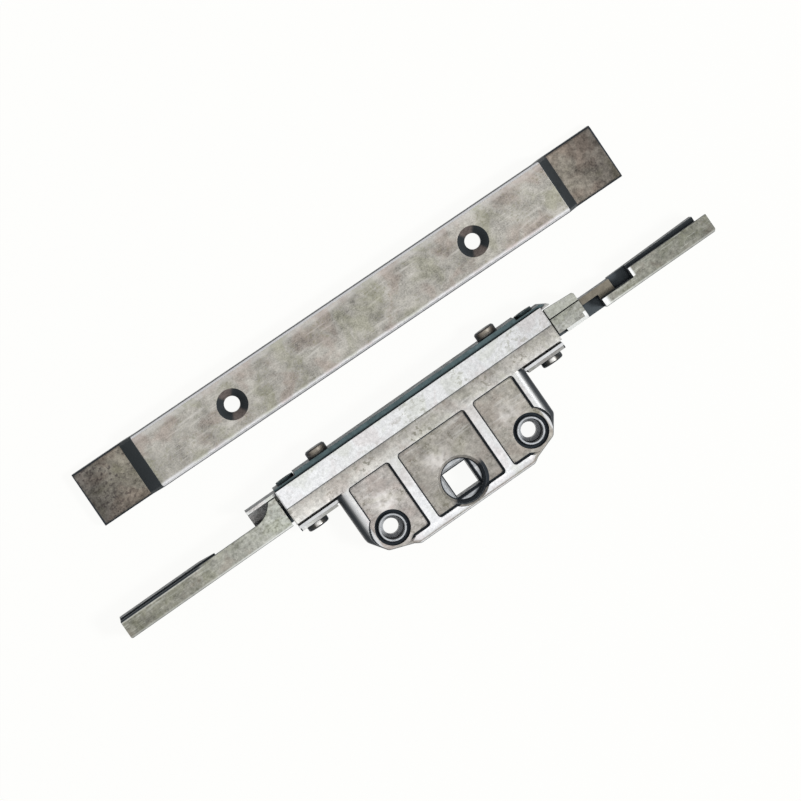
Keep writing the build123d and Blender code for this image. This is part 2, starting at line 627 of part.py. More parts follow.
def left_rack_bar():
    """Upper rack, driven by the hub; it pushes the left tongue."""
    root_y = HUB_PITCH_R + DEDENDUM
    toothed_end = STROKE + RACK_MARGIN
    bar = block(-toothed_end, RACK_MARGIN, root_y, RACK_OUTER_Y, UPPER_BOTTOM, UPPER_TOP)
    bar += block(-RACK_END_X, -toothed_end, RACK_INNER_Y, RACK_OUTER_Y, UPPER_BOTTOM, UPPER_TOP)
    count = math.floor((toothed_end + RACK_MARGIN) / TOOTH_PITCH)
    for index in range(count):
        x = (LEAD_TEETH + 0.5 - index) * TOOTH_PITCH
        bar += rack_tooth(x, HUB_PITCH_R, UPPER_BOTTOM, UPPER_TOP)
    for x in DOWEL_X:
        bar -= disc(-x, DOWEL_Y, DOWEL_R, UPPER_BOTTOM, UPPER_TOP)
    return bar


def right_rack_bar():
    """Lower rack, driven by the idler; it pushes the right tongue."""
    root_y = RIGHT_PITCH_Y + DEDENDUM
    bar = block(-RACK_MARGIN, STEP_OUTER_X, root_y, RACK_EDGE_Y, LOWER_BOTTOM, LOWER_TOP)
    bar += block(STEP_INNER_X, STEP_OUTER_X, RACK_INNER_Y, RACK_EDGE_Y, LOWER_BOTTOM, LOWER_TOP)
    bar += block(STEP_OUTER_X, RACK_END_X, RACK_INNER_Y, RACK_OUTER_Y, LOWER_BOTTOM, LOWER_TOP)
    count = math.floor((STROKE + 2 * RACK_MARGIN) / TOOTH_PITCH)
    for index in range(count):
        x = (index - LEAD_TEETH) * TOOTH_PITCH
        bar += rack_tooth(x, RIGHT_PITCH_Y, LOWER_BOTTOM, LOWER_TOP)
    for x in DOWEL_X:
        bar -= disc(x, DOWEL_Y, DOWEL_R, LOWER_BOTTOM, LOWER_TOP)
    return bar


def dowel(side, x):
    """One dowel that pins a rack bar into its tongue."""
    return disc(side * x, DOWEL_Y, DOWEL_R, BOLT_BOTTOM, DOWEL_TOP_Z)


def dowels(side):
    """A tongue's two dowels."""
    return Compound(children=[dowel(side, x) for x in DOWEL_X])


def left_bolt():
    """Left tongue: slim bar with a wide, filleted root plate."""
    tongue = block(-LEFT_TIP_X, -LEFT_ROOT_X, TONGUE_INNER_Y, LEFT_OUTER_Y, BOLT_BOTTOM, BOLT_TOP)
    tongue = chamfer(tongue.edges().filter_by(Axis.Z).sort_by(Axis.X)[:2], TIP_CHAMFER)
    relief = [
        (-RELIEF_START_X, BOLT_BOTTOM),
        (-RELIEF_START_X, RELIEF_TOP_Z),
        (-RELIEF_FLAT_X, RELIEF_TOP_Z),
        (-RELIEF_END_X, BOLT_BOTTOM),
    ]
    tongue -= side_prism(relief, TONGUE_INNER_Y, LEFT_OUTER_Y)
    foot = [
        (-RELIEF_END_X, BOLT_BOTTOM),
        (-RELIEF_FLAT_X, RELIEF_TOP_Z),
        (TIP_CHAMFER - LEFT_TIP_X, RELIEF_TOP_Z),
        (TIP_CHAMFER - LEFT_TIP_X, BOLT_BOTTOM),
    ]
    tongue += side_prism(foot, LEFT_OUTER_Y, LEFT_FOOT_Y)
    wing = block(CHANNEL_LEFT_X, -LEFT_ROOT_X, LEFT_OUTER_Y, WING_Y, WING_BOTTOM, BOLT_TOP)
    hollow_y = LEFT_OUTER_Y + WING_FILLET
    tongue += wing - disc(CHANNEL_LEFT_X, hollow_y, WING_FILLET, WING_BOTTOM, BOLT_TOP)
    tongue -= block(-RACK_END_X, -LEFT_ROOT_X, TONGUE_INNER_Y, LEFT_OUTER_Y, UPPER_BOTTOM, UPPER_TOP)
    for x in DOWEL_X:
        tongue -= dowel(-1, x)
    return tongue


def right_wing(outer_y, z0, z1):
    """One layer of the tapered wing beside the right tongue's block."""
    outline = [
        (RIGHT_ROOT_X, RIGHT_WING_Y),
        (RIGHT_ROOT_X, outer_y),
        (BLOCK_END_X, outer_y - RIGHT_WING_NARROW),
        (BLOCK_END_X, RIGHT_WING_Y),
    ]
    layer = prism(outline, z0, z1)
    corner = layer.edges().filter_by(Axis.Z).group_by(Axis.X)[-1].sort_by(Axis.Y)[-1]
    return fillet(corner, RIGHT_WING_ROUND)


def right_root():
    """Block and wing of the right tongue at the channel's mouth."""
    root = block(RIGHT_ROOT_X, BLOCK_END_X, BLOCK_INNER_Y, RIGHT_WING_Y, BOLT_BOTTOM, BOLT_TOP)
    long_edges = root.edges().filter_by(Axis.X).group_by(Axis.Z)[-1].sort_by(Axis.Y)
    root = chamfer(long_edges[0], BLOCK_CHAMFER)
    notch_x = RIGHT_ROOT_X + BLOCK_NOTCH
    notch_y = BLOCK_INNER_Y + BLOCK_CHAMFER
    notch_z = BOLT_TOP - BLOCK_NOTCH_DEPTH
    root -= block(RIGHT_ROOT_X, notch_x, BLOCK_INNER_Y, notch_y, notch_z, BOLT_TOP)
    root += right_wing(RACK_EDGE_Y, LOWER_TOP, WING_BOTTOM)
    root += right_wing(WING_Y, WING_BOTTOM, BOLT_TOP)
    groove_y = RIGHT_WING_Y + WING_GROOVE
    groove_z = BOLT_TOP - WING_GROOVE_DEPTH
    return root - block(RIGHT_ROOT_X, BLOCK_END_X, RIGHT_WING_Y, groove_y, groove_z, BOLT_TOP)


def ledge():
    """Low ledge along the right tongue's outer side, wider towards the tip."""
    outline = [
        (NECK_END_X, BAR_Y),
        (NECK_END_X, LEDGE_Y),
        (LEDGE_END_X, LEDGE_TIP_Y),
        (LEDGE_END_X, BAR_Y),
    ]
    whole = prism(outline, BOLT_BOTTOM, LEDGE_TOP_Z)
    return whole - block(NECK_END_X, FULL_START_X, BAR_Y, LEDGE_TIP_Y, NECK_FLOOR_Z, LEDGE_TOP_Z)


def right_bar():
    """Stepped neck, ledge and slim bar of the right tongue."""
    inner = TONGUE_INNER_Y
    outer = RIGHT_OUTER_Y
    bar = block(BLOCK_END_X, LEDGE_END_X, inner, outer, BOLT_BOTTOM, NECK_FLOOR_Z)
    bar += block(BLOCK_END_X, BAR_START_X, NECK_INNER_Y, NECK_OUTER_Y, BOLT_BOTTOM, NECK_TOP_Z)
    bar += block(BAR_START_X, NECK_END_X, inner, NECK_OUTER_Y, BOLT_BOTTOM, NECK_TOP_Z)
    bar += ledge()
    bar += block(BAR_START_X, FULL_START_X, inner, BAR_Y, BOLT_BOTTOM, BOLT_TOP)
    bar += block(FULL_START_X, LEDGE_END_X, inner, outer, BOLT_BOTTOM, BOLT_TOP)
    tip = block(LEDGE_END_X, RIGHT_TIP_X, inner, outer, BOLT_TOP - TIP_THICKNESS, BOLT_TOP)
    corners = tip.edges().filter_by(Axis.Z).group_by(Axis.X)[-1].sort_by(Axis.Y)
    return bar + fillet(corners[0], TIP_ROUND)


def right_bolt():
    """Right tongue, slotted and drilled for its rack bar."""
    tongue = right_root() + right_bar()
    tongue -= block(RIGHT_ROOT_X, RACK_END_X, BLOCK_INNER_Y, RIGHT_WING_Y, LOWER_BOTTOM, LOWER_TOP)
    for x in DOWEL_X:
        tongue -= dowel(1, x)
    return tongue


def screw_sleeve(side):
    """Sleeve that takes a handle screw: clear bore above, thread at the back."""
    x = side * SCREW_X
    sleeve = disc(x, 0, SLEEVE_R, SHEET, POCKET_FLOOR)
    rim = sleeve.edges().filter_by(GeomType.CIRCLE).sort_by(Axis.Z)[-1]
    sleeve = chamfer(rim, SLEEVE_EDGE)
    sleeve += disc(x, 0, SLEEVE_SPIGOT_R, 0, SHEET)
    sleeve -= disc(x, 0, SLEEVE_BORE_R, SLEEVE_THREAD_LENGTH, POCKET_FLOOR)
    return sleeve - disc(x, 0, HANDLE_THREAD_R, 0, POCKET_FLOOR)


def face_bush(side):
    """Threaded bush riveted through the wall and strip for a face plate screw."""
    x = side * FACE_SCREW_X
    start = WALL_INNER_Y - INNER_HEAD
    bush = rod_y(x, FASTENER_Z, BUSH_R, WALL_INNER_Y, BUSH_SEAT_Y)
    bush += rod_y(x, FASTENER_Z, BUSH_HEAD_R, start, WALL_INNER_Y)
    bush += rod_y(x, FASTENER_Z, BUSH_HEAD_R, BUSH_SEAT_Y, EDGE_Y)
    return bush - rod_y(x, FASTENER_Z, FACE_THREAD_R, start, EDGE_Y)


def flange_rivet(side):
    """Rivet that ties a wall tab to the casting."""
    x = side * FLANGE_RIVET_X
    head = rod_y(x, FASTENER_Z, FLANGE_RIVET_HEAD_R, TAB_Y - FLANGE_RIVET_HEAD, TAB_Y)
    rim = head.edges().filter_by(GeomType.CIRCLE).sort_by(Axis.Y)[0]
    head = fillet(rim, FLANGE_RIVET_ROUND)
    return head + rod_y(x, FASTENER_Z, FLANGE_RIVET_R, TAB_Y, FLANGE_OUTER_Y)


def locating_stud(side):
    """Round stud on the edge strip that locates the face plate."""
    x = side * STUD_X
    stud = rod_y(x, FASTENER_Z, STUD_R, EDGE_Y, EDGE_Y + STUD_LENGTH)
    rim = stud.edges().filter_by(GeomType.CIRCLE).sort_by(Axis.Y)[-1]
    stud = chamfer(rim, STUD_EDGE)
    stud += rod_y(x, FASTENER_Z, STUD_SHANK_R, WALL_INNER_Y, EDGE_Y)
    return stud + rod_y(x, FASTENER_Z, STUD_INNER_HEAD_R, WALL_INNER_Y - INNER_HEAD, WALL_INNER_Y)


def plate_half(reach, slope, tab):
    """Side view of half the plate, from the middle's lower corner round to its upper one."""
    foot = reach + slope
    shift = PLATE_THICKNESS * math.tan(math.atan2(PLATE_DROP, slope) / 2)
    return [
        (reach - shift, PLATE_DROP),
        (foot - shift, 0),
        (foot + tab, 0),
        (foot + tab, PLATE_THICKNESS),
        (foot, PLATE_THICKNESS),
        (reach, PLATE_DROP + PLATE_THICKNESS),
    ]


def plate_profile():
    """Side view of the joggled face plate, in X and Z."""
    right = plate_half(PLATE_RIGHT_REACH, PLATE_RIGHT_SLOPE, PLATE_RIGHT_TAB)
    left = plate_half(PLATE_LEFT_REACH, PLATE_LEFT_SLOPE, PLATE_LEFT_TAB)
    return right + [(-x, z) for x, z in reversed(left)]


def face_plate():
    """Loose face plate: raised middle, lowered tabs, two countersunk holes."""
    half_width = PLATE_WIDTH / 2
    top = PLATE_DROP + PLATE_THICKNESS
    plate = side_prism(plate_profile(), -half_width, half_width)
    upper = [face for face in plate.faces() if face.normal_at().Z > 0]
    rims = [edge for face in upper for edge in face.edges() if abs(edge.center().Y) > half_width / 2]
    plate = chamfer(rims, PLATE_EDGE)
    cross = plate.edges().filter_by(Axis.Y).group_by(Axis.Z)[-1]
    plate = fillet(cross, PLATE_BEND)
    socket_top = PLATE_DROP + STUD_LENGTH + PLATE_SOCKET_GAP
    for side in (-1, 1):
        x = side * FACE_SCREW_X
        stud_x = side * STUD_X
        plate -= disc(x, 0, PLATE_HOLE_R, PLATE_DROP, top)
        plate -= Pos(x, 0, top - PLATE_SINK / 2) * Cone(PLATE_HOLE_R, PLATE_SINK_R, PLATE_SINK)
        plate -= disc(stud_x, 0, STUD_R + PLATE_SOCKET_GAP, PLATE_DROP, socket_top)
    return Pos(0, PLATE_Y, 0) * Rot(0, 0, PLATE_SKEW) * plate


NODES = {
    "front_case": front_case(),
    "side_channel": side_channel(),
    "edge_strip": edge_strip(),
    "rear_cover": rear_cover(),
    "cover_rivets": cover_rivets(),
    "spindle_hub": spindle_hub(),
    "hub_washer": hub_washer(),
    "idler_pinion": idler_pinion(),
    "idler_pin": idler_pin(),
    "left_bolt": left_bolt(),
    "right_bolt": right_bolt(),
    "left_rack_bar": left_rack_bar(),
    "right_rack_bar": right_rack_bar(),
    "left_dowels": dowels(-1),
    "right_dowels": dowels(1),
    "screw_sleeve_left": screw_sleeve(-1),
    "screw_sleeve_right": screw_sleeve(1),
    "face_bush_left": face_bush(-1),
    "face_bush_right": face_bush(1),
    "flange_rivet_left": flange_rivet(-1),
    "flange_rivet_right": flange_rivet(1),
    "locating_stud_left": locating_stud(-1),
    "locating_stud_right": locating_stud(1),
    "face_plate": face_plate(),
}

os.makedirs("parts", exist_ok=True)
for name, shape in NODES.items():
    export_step(shape, f"parts/{name}.step")
print("stroke", round(STROKE, 3))
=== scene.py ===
import json
import math

import bpy
from mathutils import Matrix, Vector


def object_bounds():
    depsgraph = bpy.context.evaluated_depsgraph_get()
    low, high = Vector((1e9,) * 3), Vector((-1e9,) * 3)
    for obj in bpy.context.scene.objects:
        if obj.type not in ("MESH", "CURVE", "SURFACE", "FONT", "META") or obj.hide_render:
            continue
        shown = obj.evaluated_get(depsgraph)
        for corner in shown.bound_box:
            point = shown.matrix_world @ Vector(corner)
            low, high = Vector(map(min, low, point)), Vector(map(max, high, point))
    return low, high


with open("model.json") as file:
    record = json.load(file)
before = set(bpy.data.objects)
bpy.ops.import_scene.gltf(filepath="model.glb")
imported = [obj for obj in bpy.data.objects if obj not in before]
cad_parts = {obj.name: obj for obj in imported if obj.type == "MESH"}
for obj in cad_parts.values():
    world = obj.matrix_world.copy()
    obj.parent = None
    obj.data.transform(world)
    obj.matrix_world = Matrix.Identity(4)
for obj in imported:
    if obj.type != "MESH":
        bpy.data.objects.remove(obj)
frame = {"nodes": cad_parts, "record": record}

CAD_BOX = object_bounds()

# Window espagnolette gearbox and its loose face plate: looks, light and camera.
# Metres in space, millimetres in the textures. Origin: spindle axis on the gearbox's back face.

# Camera, from the photograph's screw holes, plate corners and tongue ends
CAMERA_PLACE = Vector((-0.0490, 0.1119, 1.3052))
CAMERA_TARGET = Vector((-0.0013, 0.0251, 0.0060))
IMAGE_UP_ANGLE = 55.2          # degrees from +X to the image's up direction
CAMERA_LENS = 229.75           # mm on a 36 mm sensor

# Light
AMBIENT = 0.26                 # world for diffuse rays
LAMP_DISTANCE = 2.5
KEY_FROM = Vector((0.46, -0.34, 0.82))
KEY_SIZE = 0.55
KEY_POWER = 44.0               # watts
FILL_FROM = Vector((-0.50, 0.40, 0.80))
FILL_SIZE = 2.0
FILL_POWER = 3.0
FLOOR_OWN_WHITE = 0.95         # share of the floor that the camera sees as plain white
FLOOR_SIZE = 6.0
FLOOR_GAP = 0.00002            # floor below the lowest piece

MM = 1000.0                    # texture units in a metre

# Places that the finishes follow, in mm
PLATE_Y = 48.4                 # plate's middle line at x = 0, and its slope
PLATE_SLOPE = 0.01396
PLATE_ENDS = (-81.0, 78.3)
PLATE_HOLES = ((-37.0, 48.92), (37.0, 47.88))
HIGHLIGHTED_STEP_ENDS = (             # start, end, inner and outer edge of step ends painted bright as a highlight
    (49.4, 50.6, 14.9, 17.4), (55.2, 57.4, 14.7, 17.3), (65.1, 66.3, 17.2, 19.9),
)
# Painted sheen: centre and strength of bright spots on the pocket floors beside each boss.
BOSS_SHEEN = (((-19.5, 6.5), 0.95), ((-2.5, 7.5), 0.6), ((19.0, 6.5), 0.45))
SLEEVES = ((-21.5, 0.0), (21.5, 0.0))
TOWARDS_SHADE = (-0.43, 0.90, 0.0)     # inner sides that face this way are black in the photo

# Where one finish gives way to the next: start and end of the change, in mm
RIB_Z = (10.7, 11.2)
RIM_Y = (-7.0, -7.2)
RIM_LINE_Y = (-7.35, -7.5)
DIM_RIB_X = (9.0, 13.0)
STRIP_Y = (14.2, 14.6)
BAND_Y = (19.22, 19.4)
BODY_SIDE_X = (26.1, 26.5)
BODY_SIDE_Y = (14.4, 13.8)
BELOW_RIB_Z = (11.58, 11.50)
POCKET_TOP_Y = (14.9, 14.7)
POCKET_BOTTOM_Y = (-5.3, -5.2)
POCKET_LINE_Z = (10.50, 10.60)
GROOVE_R = (4.68, 4.75)
GROOVE_Z = (10.25, 10.15)
CRESCENT_R = (6.95, 7.05)
CRESCENT_Z = (10.45, 10.35)
CRESCENT_REACH = (0.5, 2.5)            # towards the shade from the spindle axis
SQUARE_EDGE = (3.4, 3.5)
SQUARE_LINE = (3.85, 3.75)
SQUARE_SHADE_FROM = (3.3, 3.4)
SQUARE_SHADE_TO = (4.35, 4.15)
HUB_SHADE_REACH = (4.2, 5.2)
HUB_OUTLINE_R = (5.10, 5.25)
HUB_R = (8.0, 9.0)
SLEEVE_R = (6.0, 7.0)
SLEEVE_RING_R = (3.50, 3.62)
PLATE_RAISED_Z = (4.2, 6.8)
SINK_R = (4.3, 4.6)
TONGUE_TOP_Z = (8.0, 8.4)
NECK_Z = (7.2, 7.35)
NECK_START_X = (49.9, 50.1)
NECK_END_X = (60.2, 59.8)
WING_Y = (20.3, 20.6)
WING_X = (40.0, 41.0)

SCUFF_TURNS = (18.0, -52.0)            # degrees

# Shares of the metal surface that are the same all over
METALLIC = 0.30
SPECULAR_LEVEL = 0.2
SPECULAR_TINT = (0.3, 0.3, 0.3, 1)
BUMP_DEPTH = 0.00003                   # metres
BUMP_STRENGTH = 0.35


def srgb(red, green, blue):
    """A colour of 0 to 255 as Blender's linear values."""
    values = []
    for part in (red, green, blue):
        part /= 255
        values.append(part / 12.92 if part <= 0.04045 else ((part + 0.055) / 1.055) ** 2.4)
    return (*values, 1.0)


BLACK_BLUE = srgb(48, 53, 58)
# DARK_GREY, WALL_GREY, SIDE_GREY and TEAL_WALL darken steep walls as painted shade.
DARK_GREY = srgb(60, 64, 68)
WALL_GREY = srgb(92, 95, 97)
SIDE_GREY = srgb(74, 78, 81)
# Edge colour: rubbed edges and painted highlight.
BRIGHT = srgb(236, 238, 238)
# Painted shade for corners and recesses.
CORNER_SHADE = srgb(40, 45, 50)
TEAL_EDGE = srgb(150, 165, 168)
TEAL_WALL = srgb(46, 60, 64)


def add(tree, kind, values=None, **settings):
    """A node with its settings, and inputs given as plain values or other nodes' outputs."""
    node = tree.nodes.new(kind)
    for key, value in settings.items():
        setattr(node, key, value)
    for key, value in (values or {}).items():
        if isinstance(value, bpy.types.NodeSocket):
            tree.links.new(value, node.inputs[key])
        else:
            node.inputs[key].default_value = value
    return node


def number(tree, operation, *values):
    """A Math node's result."""
    node = add(tree, "ShaderNodeMath", dict(enumerate(values)), operation=operation)
    return node.outputs[0]


def product(tree, first, *others):
    """Several values multiplied."""
    for other in others:
        first = number(tree, "MULTIPLY", first, other)
    return first


def spread(tree, value, low, high, to_low=0.0, to_high=1.0):
    """A value's range carried smoothly to another range."""
    values = {
        "Value": value, "From Min": low, "From Max": high, "To Min": to_low, "To Max": to_high,
    }
    return add(tree, "ShaderNodeMapRange", values, interpolation_type="SMOOTHSTEP").outputs[0]


def blend(tree, factor, first, second, mode="MIX"):
    """Two colours mixed by a factor."""
    node = add(tree, "ShaderNodeMix", data_type="RGBA", blend_type=mode)
    for socket, value in (("Factor_Float", factor), ("A_Color", first), ("B_Color", second)):
        target = next(item for item in node.inputs if item.identifier == socket)
        if isinstance(value, bpy.types.NodeSocket):
            tree.links.new(value, target)
        else:
            target.default_value = value
    return next(item for item in node.outputs if item.identifier == "Result_Color")


def ramp(tree, value, *stops):
    """A colour that follows a value through (value, colour) stops."""
    low, high = stops[0][0], stops[-1][0]
    share = add(tree, "ShaderNodeMapRange", {"Value": value, "From Min": low, "From Max": high})
    node = add(tree, "ShaderNodeValToRGB", {"Fac": share.outputs[0]})
    points = node.color_ramp.elements
    points[0].color = stops[0][1]
    points[1].color = stops[-1][1]
    for at, tone in stops[1:-1]:
        points.new((at - low) / (high - low)).color = tone
    return node.outputs["Color"]


def place(tree, stretch=(1, 1, 1), turn=0.0):
    """Object coordinates in millimetres, stretched and turned."""
    source = add(tree, "ShaderNodeTexCoord").outputs["Object"]
    scale = [MM * part for part in stretch]
    values = {"Vector": source, "Scale": scale, "Rotation": (0, 0, math.radians(turn))}
    return add(tree, "ShaderNodeMapping", values).outputs[0]


def along(tree, axis):
    """One object coordinate in millimetres."""
    split = add(tree, "ShaderNodeSeparateXYZ", {0: place(tree)})
    return split.outputs[axis]


def facing(tree, axis):
    """How far the surface faces along one axis, either way: 0 to 1."""
    normal = add(tree, "ShaderNodeTexCoord").outputs["Normal"]
    split = add(tree, "ShaderNodeSeparateXYZ", {0: normal})
    return number(tree, "ABSOLUTE", split.outputs[axis])


def leaning(tree, direction):
    """How far the surface faces a direction: -1 to 1."""
    normal = add(tree, "ShaderNodeTexCoord").outputs["Normal"]
    node = add(tree, "ShaderNodeVectorMath", {0: normal, 1: direction}, operation="DOT_PRODUCT")
    return node.outputs["Value"]


def spot(tree, centre, inner, outer):
    """1 within a distance of a vertical axis, falling to 0 at a wider one."""
    flat = add(tree, "ShaderNodeVectorMath", {0: place(tree), 1: (1, 1, 0)}, operation="MULTIPLY")
    values = {0: flat.outputs[0], 1: (*centre, 0)}
    reach = add(tree, "ShaderNodeVectorMath", values, operation="DISTANCE").outputs["Value"]
    return spread(tree, reach, outer, inner)


def noise(tree, width, detail=3.0, roughness=0.55, distortion=0.0, where=None):
    """Noise with features of about a width in millimetres."""
    values = {
        "Vector": where or place(tree), "Scale": 1 / width, "Detail": detail,
        "Roughness": roughness, "Distortion": distortion,
    }
    return add(tree, "ShaderNodeTexNoise", values).outputs["Fac"]


def corners(tree, reach):
    """Painted shade mask: 1 in the open, falling towards 0 in corners, most where they are shut off
    from the key.
    """
    near = add(tree, "ShaderNodeAmbientOcclusion", {"Distance": reach / MM}, samples=8)
    values = {"Distance": 2 * reach / MM, "Normal": KEY_FROM.normalized()}
    leeward = add(tree, "ShaderNodeAmbientOcclusion", values, samples=8)
    open_above = spread(tree, near.outputs["AO"], 0.35, 0.90)
    return product(tree, open_above, spread(tree, leeward.outputs["AO"], 0.45, 0.85))


def soft_edges(tree, radius):
    """Normals as if the edges were rounded, and 1 along those edges."""
    rounded = add(tree, "ShaderNodeBevel", {"Radius": radius / MM}, samples=4).outputs[0]
    true = add(tree, "ShaderNodeNewGeometry").outputs["Normal"]
    match = add(tree, "ShaderNodeVectorMath", {0: rounded, 1: true}, operation="DOT_PRODUCT")
    return rounded, spread(tree, match.outputs["Value"], 0.985, 0.85)


def uneven(tree, colour, large, middle, fine, width=6.0):
    """A colour whose brightness wanders at three scales."""
    level = 1.0
    for share, scale in ((large, width), (middle, width / 5), (fine, 0.35)):
        wander = number(tree, "SUBTRACT", noise(tree, scale, 2.0, 0.5), 0.5)
        level = number(tree, "MULTIPLY_ADD", wander, share, level)
    return blend(tree, 1.0, colour, level, "MULTIPLY")


def tinted(tree, colour, width=9.0, strength=0.35):
    """Faint olive and pinkish patches over a colour."""
    patch = noise(tree, width, 3.0, 0.6, 0.4)
    olive = spread(tree, patch, 0.50, 0.64, 0.0, strength)
    pink = spread(tree, patch, 0.50, 0.36, 0.0, strength)
    colour = blend(tree, olive, colour, srgb(216, 219, 198), "MULTIPLY")
    return blend(tree, pink, colour, srgb(232, 216, 212), "MULTIPLY")


def speckled(tree, colour, tone, strength, width=0.7):
    """Small dull specks gathered in patches."""
    specks = spread(tree, noise(tree, width, 2.0, 0.6), 0.52, 0.64)
    patches = spread(tree, noise(tree, width * 9, 2.0), 0.42, 0.62)
    return blend(tree, product(tree, specks, patches, strength), colour, tone)


def scuffed(tree, colour, tone, strength):
    """Soft pale scuffs and bright hairlines in two directions."""
    for turn in SCUFF_TURNS:
        hairs = noise(tree, 1.0, 2.0, 0.6, 0.3, place(tree, (0.22, 5.5, 1.0), turn))
        smears = noise(tree, 1.0, 2.0, 0.5, 0.2, place(tree, (0.10, 0.9, 1.0), turn + 9))
        hairs = spread(tree, hairs, 0.64, 0.70)
        marks = number(tree, "MAXIMUM", hairs, spread(tree, smears, 0.62, 0.74))
        colour = blend(tree, number(tree, "MULTIPLY", marks, strength), colour, tone)
    return colour


def metal(name, colour, wall, edge, shine=0.36, reach=0.6, radius=0.12, rub_and_highlight=0.3):
    """A worn metal: face colour, painted shade on steep walls and in corners, edges brightened by
    rubbing and as painted highlight, grain and relief.
    """
    material = bpy.data.materials.new(name)
    material.use_nodes = True
    tree = material.node_tree
    tree.nodes.clear()
    face = colour(tree)
    patches = noise(tree, 5.0, 3.0, 0.5)
    # Painted shade: steep walls take the dark wall colour.
    wall_tone = ramp(tree, patches, (0.30, wall), (0.70, mixed(wall, edge, 0.06)))
    shade = blend(tree, spread(tree, facing(tree, 2), 0.30, 0.50), wall_tone, face)
    # Bright edges: partly rubbed, partly painted highlight.
    rounded, rim = soft_edges(tree, radius)
    shade = blend(tree, number(tree, "MULTIPLY", rim, rub_and_highlight), shade, edge)
    # Painted shade: corners darkened, most where the key lamp is shut off.
    shade = blend(tree, corners(tree, reach), CORNER_SHADE, shade)
    rough = spread(tree, noise(tree, 1.5, 5.0, 0.65), 0.3, 0.7, shine - 0.08, shine + 0.16)
    grain = noise(tree, 0.28, 4.0, 0.65)
    height = number(tree, "MULTIPLY_ADD", noise(tree, 2.0, 3.0), 1.5, grain)
    bump = add(tree, "ShaderNodeBump", {
        "Height": height, "Distance": BUMP_DEPTH, "Strength": BUMP_STRENGTH, "Normal": rounded,
    }).outputs[0]
    shader = add(tree, "ShaderNodeBsdfPrincipled", {
        "Base Color": shade, "Metallic": METALLIC, "Roughness": rough, "Normal": bump,
        "Specular IOR Level": SPECULAR_LEVEL, "Specular Tint": SPECULAR_TINT,
    })
    add(tree, "ShaderNodeOutputMaterial", {"Surface": shader.outputs[0]})
    return material


def mixed(first, second, share):
    """Two plain colours mixed."""
    return tuple(a + (b - a) * share for a, b in zip(first, second))


def case_floor(tree):
    """Dull pocket floors, with a painted sheen beside the bosses."""
    tone = ramp(
        tree, along(tree, 0),
        (-14.0, srgb(182, 177, 172)), (-11.0, srgb(162, 158, 151)),
        (11.0, srgb(160, 156, 149)), (14.0, srgb(166, 162, 154)),
    )
    tone = speckled(tree, uneven(tree, tone, 0.8, 0.9, 0.7), srgb(118, 114, 102), 0.7, 0.9)
    # Painted sheen beside each boss.
    for centre, strength in BOSS_SHEEN:
        cloud = spread(tree, noise(tree, 2.0, 2.0), 0.25, 0.60)
        shine = product(tree, spot(tree, centre, 0.5, 5.0), cloud, strength)
        tone = blend(tree, shine, tone, srgb(234, 230, 227))
    return tone


def towards_shade(tree, x, y):
    """Distance from the spindle axis towards the sides that are black in the photo."""
    return number(tree, "MULTIPLY_ADD", y, -0.90, number(tree, "MULTIPLY", x, 0.43))


def case_recesses(tree, colour, x, y, z):
    """Painted shade: pocket sides black on the right and below, thin dark lines elsewhere, black
    sleeve grooves and the hub's crescent shadow.
    """
    across = product(tree, spread(tree, y, *POCKET_TOP_Y), spread(tree, y, *POCKET_BOTTOM_Y))
    below = product(tree, spread(tree, z, *BELOW_RIB_Z), across)
    shade = spread(tree, leaning(tree, TOWARDS_SHADE), 0.12, 0.25)
    sloped = spread(tree, facing(tree, 2), 0.95, 0.90)
    line = product(tree, spread(tree, z, *POCKET_LINE_Z), sloped)
    mask = product(tree, below, number(tree, "MAXIMUM", shade, line))
    for centre in SLEEVES:
        groove = product(tree, spot(tree, centre, *GROOVE_R), spread(tree, z, *GROOVE_Z))
        mask = number(tree, "MAXIMUM", mask, groove)
    reach = spread(tree, towards_shade(tree, x, y), *CRESCENT_REACH)
    crescent = product(tree, spot(tree, (0.0, 0.0), *CRESCENT_R), reach)
    mask = number(tree, "MAXIMUM", mask, product(tree, crescent, spread(tree, z, *CRESCENT_Z)))
    return blend(tree, mask, colour, BLACK_BLUE)


def case_band(tree):
    """Pale raised band along the wall, dimmer towards the right end as painted shade."""
    # Painted shade: darker towards the right end.
    tone = ramp(
        tree, along(tree, 0),
        (-41.0, srgb(236, 237, 239)), (-20.0, srgb(226, 227, 228)),
        (20.0, srgb(216, 217, 218)), (41.0, srgb(204, 205, 206)),
    )
    return speckled(tree, uneven(tree, tone, 0.35, 0.45, 0.35, 4.0), srgb(164, 164, 154), 0.6, 0.9)


def case_strip(tree):
    """Strip between the pockets and the band, darker towards the band as painted shade under its
    step, and brighter at the ends.
    """
    # Painted shade under the band's step.
    across = ramp(
        tree, along(tree, 1),
        (14.4, srgb(214, 213, 210)), (15.4, srgb(200, 198, 193)), (17.0, srgb(182, 179, 173)),
        (19.0, srgb(160, 157, 151)), (19.3, srgb(128, 128, 128)),
    )
    ends = ramp(
        tree, along(tree, 0),
        (-41.0, (1.45, 1.46, 1.48, 1)), (-27.0, (1.2, 1.2, 1.2, 1)), (-15.0, (1, 1, 1, 1)),
        (26.0, (0.96, 0.96, 0.96, 1)), (41.0, (1.06, 1.06, 1.06, 1)),
    )
    tone = blend(tree, 1.0, across, ends, "MULTIPLY")
    return speckled(tree, uneven(tree, tone, 0.90, 0.80, 0.60, 4.5), srgb(122, 119, 106), 0.75, 1.0)


